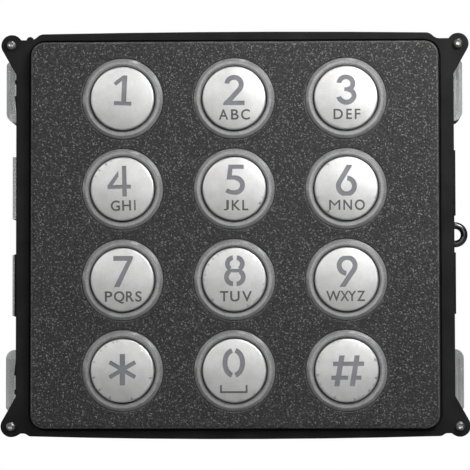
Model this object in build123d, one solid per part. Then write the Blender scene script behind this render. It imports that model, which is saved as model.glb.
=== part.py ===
from build123d import *
import os
from math import cos, hypot, radians, sin

os.makedirs("parts", exist_ok=True)

# A keypad module for a door station.  Millimetres.  +X is to the right of someone using it, +Z is up,
# and the front faces -Y.  The origin is the middle of the four frame screws, on the front of the flange.

# ---- driving dimensions: housing and front ----
SCREW_SPACING_X = 102.4
SCREW_SPACING_Z = 87.4
FRAME_SCREW_RADIUS = 1.0
FRAME_SCREW_NECK = 0.8       # the screw is thinner inside the ear, so it turns freely there
FRAME_SCREW_PASS = 0.08      # all round the thread in its ear
FRAME_SCREW_TIP = -1.5
FRAME_SCREW_THREAD_END = 0.05
FRAME_SCREW_HEAD_RADIUS = 1.9
FRAME_SCREW_HEAD_THICK = 1.3
EAR_RADIUS = 2.45
EAR_BACK = 6.0
EAR_FOOT_Z = 36.9            # where an ear's outer edge runs into the flange side
FLANGE_WIDTH = 100.35
FLANGE_TALL = 46.65          # from the origin to the middle of the crowned top edge
TOP_SHOULDER = (43.8, 46.3)  # where the crown ends and bends into the notch beside the ear
TOP_NOTCH = (47.0, 44.95)
BOTTOM_SHOULDER = (46.6, 46.0)
BOTTOM_NOTCH = (48.4, 45.35)
STOP_RADIUS = 0.85           # the small round stop in the top left notch
FLANGE_BACK = 2.5
EDGE_SOFTENING = 0.3

PLATE_WIDTH = 93.2
PLATE_HEIGHT = 88.4
PLATE_CORNER = 3.2
PLATE_FRONT = -2.2
PLATE_WALL = 1.5
PLATE_RIM = 1.6
PLATE_EDGE_ROUND = 0.8
RECESS_GAP = 0.6             # between the plate and the flange, all round
RECESS_FLOOR = 0.7
GASKET_THICK = 0.3
RIB_FRONT = 0.4              # the side ribs start this far behind the flange's front
RIB_REACH = 0.3              # and reach this far past its side
RIB_ROOT = 0.5
LONG_RIB_FRONT = 1.2
LONG_RIB_REACH = 0.45

# ---- driving dimensions: keys ----
KEY_PITCH_X = 25.5
KEY_PITCH_Z = 20.7
CAP_RADIUS = 7.25
CAP_EDGE = -3.45
CAP_CROWN = -3.95
CAP_BACK = -1.3
CAP_EDGE_ROUND = 0.4
CAP_POCKET_RADIUS = 6.5
CAP_POCKET_FRONT = -2.9
GLYPH_RECESS = 0.18          # the coloured core sits this far below the metal in each numeral
COLLAR_BORE = 7.55
COLLAR_RADIUS = 9.2
COLLAR_FRONT = -2.85
COLLAR_INNER_BEVEL = 0.4
COLLAR_OUTER_BEVEL = 0.65
COLLAR_OUTER_DROP = 0.55
PLATE_HOLE_RADIUS = 9.35
HOLE_CHAMFER = 0.25
CORE_RADIUS = 6.9
CORE_LIP_RADIUS = 8.3
CORE_LIP_THICK = 0.8
PLUNGER_RADIUS = 3.0
PLUNGER_BACK = 3.4
PLUG_RADIUS = 3.4
PLUG_BACK = 4.5
CONTACT_RADIUS = 2.2
CONTACT_BACK = 5.1
STROKE = 1.13                # width of a numeral's strokes

# ---- driving dimensions: side lug and tether eyelet ----
EYELET_RADIUS = 2.1
EYELET_WIRE = 0.8
EYELET_DEPTH = 4.0
EYELET_STAND = 0.3           # how far its legs run straight before the half ring
LUG_INNER_X = 48.75
LUG_BACK = 5.3
LUG_HALF_TALL = 3.4

# ---- driving dimensions: inside ----
GUIDE_BACK = 0.6
GUIDE_SLACK = 0.4            # less than the room inside the plate's rim
GUIDE_CORNER = 1.4
HOUSING_HOLE_RADIUS = 8.6
TUB_WIDTH = 94.4
TUB_HEIGHT = 87.4
TUB_WALL = 1.6
TUB_BACK = 9.0
LEDGE_WIDTH = 1.4
BOARD_FRONT = 6.2
BOARD_THICK = 1.6
BOARD_BACK = BOARD_FRONT + BOARD_THICK
BOARD_WIDTH = 90.6
BOARD_HEIGHT = 83.6
MAT_THICK = 1.0
MAT_WIDTH = 86.0
MAT_HEIGHT = 79.0
PILLAR_X = 42.2
PILLAR_Z = 38.6
PILLAR_RADIUS = 2.4
PILLAR_BACK = 15.8
BOSS_RADIUS = 2.0
SCREW_RADIUS = 0.9
SCREW_HEAD_RADIUS = 1.8
SCREW_HEAD_THICK = 1.2
SCREW_BITE = 0.05            # all round a screw in its boss or pillar
SCREW_PASS = 0.15            # all round a screw that passes through
BOARD_SCREW_TIP = 1.2
BOSS_HOLE_END = -0.2
COVER_SCREW_TIP = 9.0
BOSS_GAP = 0.3
PILLAR_GAP = 0.3
MAT_GAP = 0.4
CUT_PAST = 1.0               # a cut runs this far past the wall it goes through
RING_FRONT = 4.3             # front of the mat's cone round each plug
LED_WIDTH = 3.2
LED_HEIGHT = 1.6
LED_THICK = 1.1
LED_WINDOW = (4.0, 2.4)      # the hole in front of each light, through the housing
LED_MAT_HOLE = (4.4, 2.8)
CONTROLLER_Z = 11.0
CONTROLLER_SIDE = 10.0
CONTROLLER_TALL = 1.4
DRIVER_X = 28.0
DRIVER_Z = -9.0
DRIVER_WIDTH = 8.6
DRIVER_HEIGHT = 4.0
DRIVER_TALL = 1.6
CRYSTAL_Z = 22.5
CRYSTAL_WIDTH = 4.9
CRYSTAL_HEIGHT = 3.2
CRYSTAL_TALL = 1.3
CAPACITOR_X = 8.0
CAPACITOR_Z = 32.0
CAPACITOR_RADIUS = 3.15
CAPACITOR_TALL = 7.7
BUZZER_X = -30.0
BUZZER_Z = 14.0
BUZZER_RADIUS = 6.0
BUZZER_TALL = 5.5
PIN_PITCH = 2.54
PIN_SIDE = 0.64
SOCKET_X = 22.0
SOCKET_Z = -31.0
SOCKET_WIDTH = 17.0
SOCKET_HEIGHT = 8.4
SOCKET_TALL = 9.6
SOCKET_HOLE_DEEP = 4.0
SOCKET_HOLE_HALF = 0.45
SOCKET_KEY_HALF = 2.0        # the slot in its side that the plug's key slides in
SOCKET_KEY_DEEP = 0.8
JUMPER_X = 30.0
JUMPER_Z = 32.0
JUMPER_STRIP_TALL = 2.5
JUMPER_PIN_TALL = 8.4
JUMPER_CAP_TALL = 5.8

# ---- driving dimensions: rear cover ----
COVER_WIDTH = 97.0
COVER_HEIGHT = 90.0
COVER_CORNER = 3.4
COVER_WALL = 1.1
COVER_FRONT = 2.7
COVER_BACK = 18.0
COVER_REAR_WALL = 1.4
COVER_SCREW_SEAT = 16.75     # the heads lie below the cover's back
COVER_BOSS_RADIUS = 3.4
COVER_BOSS_GAP = 0.1         # between a cover boss and its pillar
WINDOW_GAP = 0.3             # all round a socket, a screw head and the label in the cover
LABEL_HALF_WIDTH = 20.0
LABEL_LOW_Z = 3.0
LABEL_HIGH_Z = 19.0
LABEL_THICK = 0.15
LABEL_POCKET = 0.2
WING_LEFT_X = 52.75
WING_RIGHT_X = 52.3
WING_INNER_Z = 26.2
WING_OUTER_Z = 40.2
WING_FRONT = 3.2
WING_BACK = 14.0
WING_WALL = 0.8
WING_CORNER = 2.1
WING_SMALL_CORNER = 0.9
WING_OVERLAP = 1.0
WING_RIB_X = 50.15
WING_RIB = 0.45
TONGUE_X = 51.25
TONGUES_Z = ((3.9, 18.2), (-18.4, -4.4))
TONGUE_DEPTHS = (2.9, 9.0)

KEY_ROWS = [["1", "2", "3"], ["4", "5", "6"], ["7", "8", "9"], ["star", "0", "hash"]]
KEY_CLOCKING = {"1": -2.4, "4": 1.4}   # round caps are never all set dead square


def slab(outline, front, back):
    """The X-Z outline made solid from depth `front` to depth `back`."""
    return extrude(Plane.XZ.offset(-back) * outline, amount=back - front)


def rounded(width, height, corner):
    return RectangleRounded(width, height, corner)


def disc(radius, front, back, x=0.0, z=0.0):
    return slab(Pos(x, z) * Circle(radius), front, back)


def block(x_range, y_range, z_range):
    width = x_range[1] - x_range[0]
    height = z_range[1] - z_range[0]
    centre = Pos((x_range[0] + x_range[1]) / 2, (z_range[0] + z_range[1]) / 2)
    return slab(centre * Rectangle(width, height), *y_range)


def window(x, z, size, front, back):
    """A block of this width and height about x, z, to cut a rectangular hole with."""
    return slab(Pos(x, z) * Rectangle(*size), front, back)


def turned(profile):
    """Turn a (radius, depth) outline about the Y axis."""
    return revolve(make_face(profile), Axis.Y)


def at_key(shape, x, z):
    return Pos(x, 0, z) * shape


def group(solids):
    return Compound(children=[s for s in solids])


def save(shape, name):
    export_step(shape, "parts/" + name + ".step")


def key_places():
    for row, names in enumerate(KEY_ROWS):
        for column, name in enumerate(names):
            yield name, (column - 1) * KEY_PITCH_X, (1.5 - row) * KEY_PITCH_Z


def clamp_places():
    """The six places between the keys where a screw clamps board, housing and plate."""
    return [(x * KEY_PITCH_X / 2, z * KEY_PITCH_Z) for x in (-1, 1) for z in (-1, 0, 1)]


def light_places():
    """One LED on each side of every key row, and between its keys."""
    return [(x * KEY_PITCH_X, (1.5 - row) * KEY_PITCH_Z) for x in (-1.5, -0.5, 0.5, 1.5) for row in range(4)]


def corner_places(x, z):
    return [(sx * x, sz * z) for sx in (-1, 1) for sz in (-1, 1)]


# ---- numerals: strokes are straight runs (2 points) or arcs (3 points), in mm from the cap's middle ----
def polygon(*points):
    return make_face(Polyline(*points, close=True))


def run(start, end, width=STROKE):
    dx, dz = end[0] - start[0], end[1] - start[1]
    length = hypot(dx, dz)
    ox, oz = -dz / length * width / 2, dx / length * width / 2
    return polygon(
        (start[0] + ox, start[1] + oz),
        (end[0] + ox, end[1] + oz),
        (end[0] - ox, end[1] - oz),
        (start[0] - ox, start[1] - oz),
    )


def bow(start, middle, end, width=STROKE):
    """A band of constant width along the arc through three points."""
    arc = ThreePointArc(start, middle, end)
    centre, radius = arc.arc_center, arc.radius

    def moved(point, new_radius):
        scale = new_radius / radius
        return (centre.X + (point[0] - centre.X) * scale, centre.Y + (point[1] - centre.Y) * scale)

    outer = [moved(p, radius + width / 2) for p in (start, middle, end)]
    inner = [moved(p, radius - width / 2) for p in (end, middle, start)]
    return make_face([
        ThreePointArc(*outer),
        Line(outer[2], inner[0]),
        ThreePointArc(*inner),
        Line(inner[2], outer[0]),
    ])


def around(centre, radius, first, last, width=STROKE):
    """A bow given by its centre, radius and two angles in degrees."""
    places = []
    for angle in (first, (first + last) / 2, last):
        places.append((centre[0] + radius * cos(radians(angle)), centre[1] + radius * sin(radians(angle))))
    return bow(*places, width)


def numeral_one():
    stem = polygon((-0.2, 4.2), (0.0, 5.25), (0.93, 5.25), (0.93, -1.2), (-0.2, -1.2))
    flag = polygon((0.93, 5.25), (0.0, 5.25), (-2.15, 3.45), (-1.55, 2.8), (-0.2, 3.95))
    return stem + flag + run((-1.85, -1.22), (2.12, -1.22), 0.9)


def numeral_two():
    top = around((0.0, 3.0), 1.65, 172, -42)
    diagonal = run((1.23, 1.9), (-1.6, -1.25))
    heel = polygon((-2.46, -1.72), (-2.46, -1.2), (-1.9, -0.55), (-0.7, -0.73), (-0.7, -1.72))
    return top + diagonal + heel + run((-1.5, -1.22), (2.42, -1.22), 1.0)


def numeral_three():
    upper = bow((-1.6, 3.25), (-0.03, 4.65), (1.57, 3.1)) + bow((1.57, 3.1), (1.19, 2.18), (0.27, 1.8))
    tongue = run((-0.38, 1.8), (0.35, 1.8), 0.85)
    lower = bow((0.27, 1.8), (1.36, 1.35), (1.83, 0.3)) + bow((1.83, 0.3), (0.06, -1.18), (-1.68, 0.1))
    join = Pos(1.83, 0.3) * Circle(STROKE / 2)
    return upper + tongue + lower + join


def numeral_four():
    stem = run((0.52, 5.24), (0.52, -1.77), 1.0)
    bar = run((-3.34, 0.45), (2.0, 0.45), 0.9)
    slope = polygon((-3.34, 0.8), (-0.78, 4.2), (-0.78, 2.8), (-2.2, 0.8))
    return stem + bar + slope


def numeral_five():
    top = run((-1.34, 4.93), (2.18, 4.93), 0.98)
    stem = polygon((-1.34, 5.0), (-0.32, 5.0), (-0.6, 2.2), (-1.72, 1.98))
    foot = polygon((-1.72, 1.98), (-1.72, 2.4), (-0.66, 2.95), (0.24, 2.95), (0.24, 1.98))
    bowl = around((0.23, 0.72), 1.66, 92, -92)
    tail = bow((0.2, -0.94), (-0.9, -0.82), (-1.78, -0.42), 1.0)
    return top + stem + foot + bowl + tail


def numeral_six():
    bowl = around((0.0, 0.45), 1.82, 84, -211)
    tail = run((-1.56, 1.38), (0.87, 5.45), 1.14)
    return clip(bowl + tail)


def numeral_nine():
    bowl = around((0.1, 3.1), 1.8, 264, -34)
    tail = run((1.6, 2.09), (-1.2, -2.05), 1.14)
    return clip(bowl + tail)


def clip(outline, bottom=-1.77, top=5.27):
    """Cut slanted stroke ends level with the numeral's foot and head."""
    middle = (bottom + top) / 2
    return outline & (Pos(0, middle) * Rectangle(10, top - bottom))


def numeral_seven():
    return polygon(
        (-2.05, 5.37), (2.43, 5.37), (2.43, 4.75), (-0.58, -1.68),
        (-1.9, -1.68), (1.12, 4.28), (-2.05, 4.28),
    )


def numeral_eight():
    halves = Pos(0.12, 1.97) * Rectangle(2.9, 0.78)
    for side in (-1, 1):
        up_x, low_x = 0.12 + side * 0.32, 0.12 + side * 0.4
        turn = 1 if side < 0 else -1
        halves += around((up_x, 3.55), 1.37, 90 + turn * 5, 90 + turn * 150, 1.08)
        halves += around((low_x, 0.52), 1.52, 90 + turn * 30, 90 + turn * 180, 1.08)
    return halves


def numeral_zero():
    """Two facing brackets: a shallow side arc runs into a tighter arc at its head and at its foot."""
    middle_x, middle_z, half_width = -0.17, 1.77, 1.98
    side_radius, end_radius, lean, stop = 4.2, 2.48, 18, 67
    shift = side_radius - end_radius
    side_x = middle_x - half_width + side_radius
    left = around((side_x, middle_z), side_radius, 180 - lean, 180 + lean)
    for turn in (-1, 1):
        angle = 180 + turn * lean
        centre = (side_x + shift * cos(radians(angle)), middle_z + shift * sin(radians(angle)))
        left += around(centre, end_radius, angle, 180 + turn * stop)
    return left + Pos(2 * middle_x, 0) * mirror(left, Plane.YZ)


def numeral_star():
    arms = run((0.05, 3.8), (0.05, -3.3), 1.2)
    reach = 3.4
    for angle in (30.5, -30.5):
        dx, dz = reach * cos(radians(angle)), reach * sin(radians(angle))
        arms += run((0.05 - dx, 0.25 - dz), (0.05 + dx, 0.25 + dz), 0.95)
    return arms


def numeral_hash():
    left = polygon((-1.72, 3.4), (-0.5, 3.4), (-1.77, -3.55), (-2.93, -3.55))
    right = polygon((1.72, 3.4), (2.88, 3.4), (1.75, -3.55), (0.58, -3.55))
    upper = run((-3.16, 1.5), (3.87, 1.5), 0.98)
    lower = run((-3.54, -1.65), (0.2, -1.65), 0.92) + run((1.5, -1.65), (3.24, -1.65), 0.92)
    return left + right + upper + lower


NUMERALS = {
    "1": numeral_one, "2": numeral_two, "3": numeral_three, "4": numeral_four,
    "5": numeral_five, "6": numeral_six, "7": numeral_seven, "8": numeral_eight,
    "9": numeral_nine, "star": numeral_star, "0": numeral_zero, "hash": numeral_hash,
}


def numeral(name):
    return Rot(0, 0, KEY_CLOCKING.get(name, 0.0)) * NUMERALS[name]()


# ---- key pieces ----
def cap_blank(front_drop):
    """The cap's domed disc, its front set back by front_drop."""
    crown, edge = CAP_CROWN + front_drop, CAP_EDGE + front_drop
    half = CAP_RADIUS / 2
    between = crown + (edge - crown) / 4
    return turned([
        ThreePointArc((0, crown), (half, between), (CAP_RADIUS, edge)),
        Polyline((CAP_RADIUS, edge), (CAP_RADIUS, CAP_BACK), (0, CAP_BACK), (0, crown)),
    ])


def key_cap(name):
    """A domed metal cap, open behind, with its numeral cut right through like a stencil."""
    cap = cap_blank(0.0)
    rims = cap.edges().filter_by(GeomType.CIRCLE).filter_by(lambda edge: abs(edge.radius - CAP_RADIUS) < 0.01)
    cap = fillet(rims.sort_by(Axis.Y)[0], CAP_EDGE_ROUND)
    cap -= disc(CAP_POCKET_RADIUS, CAP_POCKET_FRONT, CAP_BACK)
    return cap - slab(numeral(name), CAP_CROWN - 1, CAP_BACK)


def key_core(name):
    """The moulded key body: it fills the cap and the numeral, slides in the collar and pushes the mat."""
    lip_front = GUIDE_BACK + 0.05
    lip_back = lip_front + CORE_LIP_THICK
    core = disc(CAP_POCKET_RADIUS - 0.05, CAP_POCKET_FRONT, CAP_BACK)
    core += disc(CORE_RADIUS, CAP_BACK, lip_front)
    core += disc(CORE_LIP_RADIUS, lip_front, lip_back)
    core += disc(PLUNGER_RADIUS, lip_back, PLUNGER_BACK)
    filling = slab(numeral(name), CAP_CROWN - 1, CAP_POCKET_FRONT) & cap_blank(GLYPH_RECESS)
    return core + filling


def key_plug():
    """The part of the mat that moves with a key: a silicone button with its carbon contact."""
    return disc(PLUG_RADIUS, PLUNGER_BACK, PLUG_BACK) + disc(CONTACT_RADIUS, PLUG_BACK, CONTACT_BACK)


# ---- front plate, light guide and gasket ----
def front_plate():
    plate = slab(rounded(PLATE_WIDTH, PLATE_HEIGHT, PLATE_CORNER), PLATE_FRONT, RECESS_FLOOR - GASKET_THICK)
    front_rim = plate.faces().sort_by(Axis.Y)[0].edges()
    plate = fillet(front_rim, PLATE_EDGE_ROUND)
    inner_width, inner_height = PLATE_WIDTH - 2 * PLATE_RIM, PLATE_HEIGHT - 2 * PLATE_RIM
    plate -= slab(rounded(inner_width, inner_height, PLATE_CORNER - PLATE_RIM), PLATE_FRONT + PLATE_WALL,
                  RECESS_FLOOR)
    for _, x, z in key_places():
        plate -= disc(PLATE_HOLE_RADIUS, PLATE_FRONT - CUT_PAST, PLATE_FRONT + PLATE_WALL + CUT_PAST, x, z)
    hole_edges = plate.faces().sort_by(Axis.Y)[0].inner_wires().edges()
    plate = chamfer(hole_edges, HOLE_CHAMFER)
    for x, z in clamp_places():
        plate += disc(BOSS_RADIUS, PLATE_FRONT + PLATE_WALL, BOARD_FRONT - 0.1, x, z)
    for x, z in clamp_places():
        plate -= disc(SCREW_RADIUS + SCREW_BITE, BOSS_HOLE_END, BOARD_FRONT, x, z)
    return plate


def plate_gasket():
    ring = rounded(PLATE_WIDTH, PLATE_HEIGHT, PLATE_CORNER)
    ring -= rounded(PLATE_WIDTH - 2 * PLATE_RIM, PLATE_HEIGHT - 2 * PLATE_RIM, PLATE_CORNER - PLATE_RIM)
    return slab(ring, RECESS_FLOOR - GASKET_THICK, RECESS_FLOOR)


def light_guide():
    """One clear moulding: a sheet behind the plate, with a bevelled collar round every key."""
    sheet_front = PLATE_FRONT + PLATE_WALL
    narrower = 2 * PLATE_RIM + GUIDE_SLACK
    sheet = slab(
        rounded(PLATE_WIDTH - narrower, PLATE_HEIGHT - narrower, GUIDE_CORNER),
        sheet_front,
        GUIDE_BACK,
    )
    for x, z in clamp_places():
        sheet -= disc(BOSS_RADIUS + GUIDE_SLACK, sheet_front - CUT_PAST, GUIDE_BACK + CUT_PAST, x, z)
    bevel_back = COLLAR_FRONT + COLLAR_INNER_BEVEL
    collar = turned(Polyline(
        (CORE_RADIUS, GUIDE_BACK), (CORE_RADIUS, bevel_back), (COLLAR_BORE, bevel_back),
        (COLLAR_BORE + COLLAR_INNER_BEVEL, COLLAR_FRONT), (COLLAR_RADIUS - COLLAR_OUTER_BEVEL, COLLAR_FRONT),
        (COLLAR_RADIUS, COLLAR_FRONT + COLLAR_OUTER_DROP), (COLLAR_RADIUS, GUIDE_BACK), close=True,
    ))
    for _, x, z in key_places():
        sheet += at_key(collar, x, z)
    for _, x, z in key_places():
        sheet -= disc(COLLAR_BORE, COLLAR_FRONT - CUT_PAST, GUIDE_BACK + CUT_PAST, x, z)
    return sheet


# ---- housing ----
def ear_edge(side_x, foot_z, centre, radius):
    """Where the straight outer edge from the ear's foot touches the ear's circle."""
    dx, dz = centre[0] - side_x, centre[1] - foot_z
    distance = hypot(dx, dz)
    along = (distance**2 - radius**2) ** 0.5
    ux, uz = dx / distance, dz / distance
    sine = radius / distance
    cosine = along / distance
    # the tangent leaves the centre line by the angle whose sine is radius / distance, on the outer side
    tx, tz = ux * cosine + uz * sine, uz * cosine - ux * sine
    return side_x + along * tx, foot_z + along * tz


def flange_outline():
    side = FLANGE_WIDTH / 2
    ear = (SCREW_SPACING_X / 2, SCREW_SPACING_Z / 2)
    touch = ear_edge(side, EAR_FOOT_Z, ear, EAR_RADIUS)
    ear_far = (ear[0] + EAR_RADIUS * 0.5, ear[1] + EAR_RADIUS * 0.75**0.5)

    def corner(sx, sz, shoulder, notch):
        """One quarter of the outline, from the crown's end to the flange side."""
        bend = ((shoulder[0] + notch[0]) / 2, (shoulder[1] + notch[1]) / 2)
        rise = notch[1] - ear[1]
        ear_in_x = ear[0] - (EAR_RADIUS**2 - rise**2) ** 0.5

        def p(x, z):
            return (sx * x, sz * z)

        return [
            TangentArc(p(*shoulder), p(*bend), tangent=(sx, 0)),
            TangentArc(p(*notch), p(*bend), tangent=(-sx, 0)),
            Line(p(*notch), p(ear_in_x, notch[1])),
            ThreePointArc(p(ear_in_x, notch[1]), p(*ear_far), p(*touch)),
            Line(p(*touch), p(side, EAR_FOOT_Z)),
        ]

    edges = []
    for sx in (-1, 1):
        edges += corner(sx, 1, TOP_SHOULDER, TOP_NOTCH)
        edges += corner(sx, -1, BOTTOM_SHOULDER, BOTTOM_NOTCH)
        edges.append(Line((sx * side, EAR_FOOT_Z), (sx * side, -EAR_FOOT_Z)))
    for sz, (shoulder_x, shoulder_z) in ((1, TOP_SHOULDER), (-1, BOTTOM_SHOULDER)):
        crown = (0, sz * FLANGE_TALL)
        edges.append(ThreePointArc((-shoulder_x, sz * shoulder_z), crown, (shoulder_x, sz * shoulder_z)))
    return make_face(edges)


def side_ribs():
    """Small ribs that centre the module between its neighbours in the frame."""
    side = FLANGE_WIDTH / 2
    depths = (RIB_FRONT, FLANGE_BACK)
    right = (side - RIB_ROOT, side + RIB_REACH)
    left = (-side - RIB_REACH, -side + RIB_ROOT)
    ribs = [
        block(right, depths, (4.3, 19.2)),
        block(right, depths, (-18.2, -4.2)),
        block((-side - LONG_RIB_REACH, left[1]), (LONG_RIB_FRONT, FLANGE_BACK), (-18.6, -4.3)),
        block(left, depths, (34.9, 35.8)),
        block(left, depths, (-36.4, -35.3)),
    ]
    for sz in (1, -1):
        taper = polygon(
            (left[1], sz * 32.1), (-side - 0.35, sz * 32.1), (left[0], sz * 31.2), (-side, sz * 28.1),
            (left[1], sz * 28.1),
        )
        ribs.append(slab(taper, *depths))
    return ribs


def housing():
    body = slab(flange_outline(), 0, FLANGE_BACK)
    body = fillet(body.faces().sort_by(Axis.Y)[0].edges(), EDGE_SOFTENING)
    for x, z in corner_places(SCREW_SPACING_X / 2, SCREW_SPACING_Z / 2):
        body += disc(EAR_RADIUS - 0.1, 1.0, EAR_BACK, x, z)
    for rib in side_ribs():
        body += rib
    body += disc(STOP_RADIUS, EDGE_SOFTENING, FLANGE_BACK, -TOP_NOTCH[0], TOP_NOTCH[1] - 0.1)

    tub = slab(rounded(TUB_WIDTH, TUB_HEIGHT, 3), FLANGE_BACK, TUB_BACK)
    room_width, room_height = TUB_WIDTH - 2 * TUB_WALL, TUB_HEIGHT - 2 * TUB_WALL
    tub -= slab(rounded(room_width, room_height, 1.5), BOARD_FRONT, TUB_BACK)
    inner_width, inner_height = room_width - 2 * LEDGE_WIDTH, room_height - 2 * LEDGE_WIDTH
    tub -= slab(rounded(inner_width, inner_height, 1.5), FLANGE_BACK, BOARD_FRONT)
    body += tub

    recess_width, recess_height = PLATE_WIDTH + 2 * RECESS_GAP, PLATE_HEIGHT + 2 * RECESS_GAP
    body -= slab(rounded(recess_width, recess_height, PLATE_CORNER + RECESS_GAP), -CUT_PAST, RECESS_FLOOR)
    through = (-CUT_PAST, FLANGE_BACK + CUT_PAST)
    for _, x, z in key_places():
        body -= disc(HOUSING_HOLE_RADIUS, *through, x, z)
    for x, z in clamp_places():
        body -= disc(BOSS_RADIUS + BOSS_GAP, *through, x, z)
    for x, z in light_places():
        body -= window(x, z, LED_WINDOW, *through)

    for x, z in corner_places(PILLAR_X, PILLAR_Z):
        body += disc(PILLAR_RADIUS, FLANGE_BACK, PILLAR_BACK, x, z)
    for x, z in corner_places(PILLAR_X, PILLAR_Z):
        body -= disc(SCREW_RADIUS + SCREW_BITE, COVER_SCREW_TIP - CUT_PAST, PILLAR_BACK + CUT_PAST, x, z)
    for x, z in corner_places(SCREW_SPACING_X / 2, SCREW_SPACING_Z / 2):
        body -= disc(FRAME_SCREW_RADIUS + FRAME_SCREW_PASS, -CUT_PAST, EAR_BACK + CUT_PAST, x, z)

    body += block((LUG_INNER_X, FLANGE_WIDTH / 2), (FLANGE_BACK, LUG_BACK), (-LUG_HALF_TALL, LUG_HALF_TALL))
    for z in (-EYELET_RADIUS, EYELET_RADIUS):
        hole = Pos(LUG_INNER_X + 0.2, EYELET_DEPTH, z) * Rot(0, 90, 0) * Cylinder(
            EYELET_WIRE + 0.03, 5, align=(Align.CENTER, Align.CENTER, Align.MIN))
        body -= hole
    return body


def tether_eyelet():
    """A moulded half ring whose two legs plug into the housing's side lug."""
    ring = Torus(EYELET_RADIUS, EYELET_WIRE)
    ring = Rot(90, 0, 0) * ring
    ring = split(ring, Plane.YZ, keep=Keep.TOP)
    start = LUG_INNER_X + 0.25
    bend = FLANGE_WIDTH / 2 + EYELET_STAND
    eyelet = Pos(bend, EYELET_DEPTH, 0) * ring
    for z in (-EYELET_RADIUS, EYELET_RADIUS):
        leg = Cylinder(EYELET_WIRE, bend - start, align=(Align.CENTER, Align.CENTER, Align.MIN))
        eyelet += Pos(start, EYELET_DEPTH, z) * Rot(0, 90, 0) * leg
    return eyelet


# ---- keymat, board and what is on it ----
def keymat():
    front = BOARD_FRONT - MAT_THICK
    mat = slab(rounded(MAT_WIDTH, MAT_HEIGHT, 2), front, BOARD_FRONT)
    foot_radius, top_radius, wall = 4.5, 3.6, 0.38
    skirt = turned(Polyline(
        (foot_radius + wall, front), (top_radius + wall, RING_FRONT), (top_radius, RING_FRONT), (foot_radius, front),
        close=True,
    ))
    for _, x, z in key_places():
        mat += at_key(skirt, x, z)
        mat -= disc(foot_radius, front, BOARD_FRONT, x, z)
    for x, z in clamp_places():
        mat -= disc(BOSS_RADIUS + BOSS_GAP, front - CUT_PAST, BOARD_FRONT + CUT_PAST, x, z)
    for x, z in corner_places(PILLAR_X, PILLAR_Z):
        mat -= disc(PILLAR_RADIUS + MAT_GAP, front - CUT_PAST, BOARD_FRONT + CUT_PAST, x, z)
    for x, z in light_places():
        mat -= window(x, z, LED_MAT_HOLE, front - CUT_PAST, BOARD_FRONT + CUT_PAST)
    return mat


def circuit_board():
    board = slab(rounded(BOARD_WIDTH, BOARD_HEIGHT, 1.2), BOARD_FRONT, BOARD_BACK)
    for x, z in clamp_places():
        board -= disc(SCREW_RADIUS + SCREW_PASS, BOARD_FRONT - CUT_PAST, BOARD_BACK + CUT_PAST, x, z)
    for x, z in corner_places(PILLAR_X, PILLAR_Z):
        board -= disc(PILLAR_RADIUS + PILLAR_GAP, BOARD_FRONT - CUT_PAST, BOARD_BACK + CUT_PAST, x, z)
    return board


def on_board(x, z, width, height, tall):
    return block((x - width / 2, x + width / 2), (BOARD_BACK, BOARD_BACK + tall), (z - height / 2, z + height / 2))


def pan_head(y, x, z, head_radius, thick):
    """A domed screw head behind depth y, with a cross recess."""
    head = disc(head_radius, y, y + thick, x, z)
    rear_edge = head.edges().sort_by(Axis.Y)[-1]
    head = fillet(rear_edge, thick * 0.6)
    arm, slot = head_radius * 1.1, 0.4
    deep = y + thick * 0.5
    head -= window(x, z, (arm, slot), deep, y + thick + CUT_PAST)
    return head - window(x, z, (slot, arm), deep, y + thick + CUT_PAST)


def screws(places, tip, seat):
    """The small screws that go into a pillar or boss."""
    made = []
    for x, z in places:
        made.append(disc(SCREW_RADIUS, tip, seat, x, z) + pan_head(seat, x, z, SCREW_HEAD_RADIUS, SCREW_HEAD_THICK))
    return group(made)


def corner_screws():
    """The four frame screws: thread in front of the flange, a thinner neck in the ear, the head behind it."""
    made = []
    for x, z in corner_places(SCREW_SPACING_X / 2, SCREW_SPACING_Z / 2):
        screw = disc(FRAME_SCREW_RADIUS, FRAME_SCREW_TIP, FRAME_SCREW_THREAD_END, x, z)
        screw += disc(FRAME_SCREW_NECK, FRAME_SCREW_THREAD_END, EAR_BACK, x, z)
        made.append(screw + pan_head(EAR_BACK, x, z, FRAME_SCREW_HEAD_RADIUS, FRAME_SCREW_HEAD_THICK))
    return group(made)


def link_socket(x):
    """A ten-way socket for the ribbon lead to the next module."""
    socket = on_board(x, SOCKET_Z, SOCKET_WIDTH, SOCKET_HEIGHT, SOCKET_TALL)
    back = BOARD_BACK + SOCKET_TALL
    depths = (back - SOCKET_HOLE_DEEP, back)
    hole = (2 * SOCKET_HOLE_HALF, 2 * SOCKET_HOLE_HALF)
    for column in range(5):
        for row in (-0.5, 0.5):
            socket -= window(x + (column - 2) * PIN_PITCH, SOCKET_Z + row * PIN_PITCH, hole, *depths)
    side_z = SOCKET_Z - SOCKET_HEIGHT / 2
    return socket - block((x - SOCKET_KEY_HALF, x + SOCKET_KEY_HALF), depths, (side_z, side_z + SOCKET_KEY_DEEP))


def jumper_pins():
    pins = []
    for column in range(4):
        x = JUMPER_X + (column - 1.5) * PIN_PITCH
        strip = on_board(x, JUMPER_Z, PIN_PITCH, 2 * PIN_PITCH, JUMPER_STRIP_TALL)
        for dz in (-PIN_PITCH / 2, PIN_PITCH / 2):
            strip += on_board(x, JUMPER_Z + dz, PIN_SIDE, PIN_SIDE, JUMPER_PIN_TALL)
        pins.append(strip)
    return group(pins)


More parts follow.
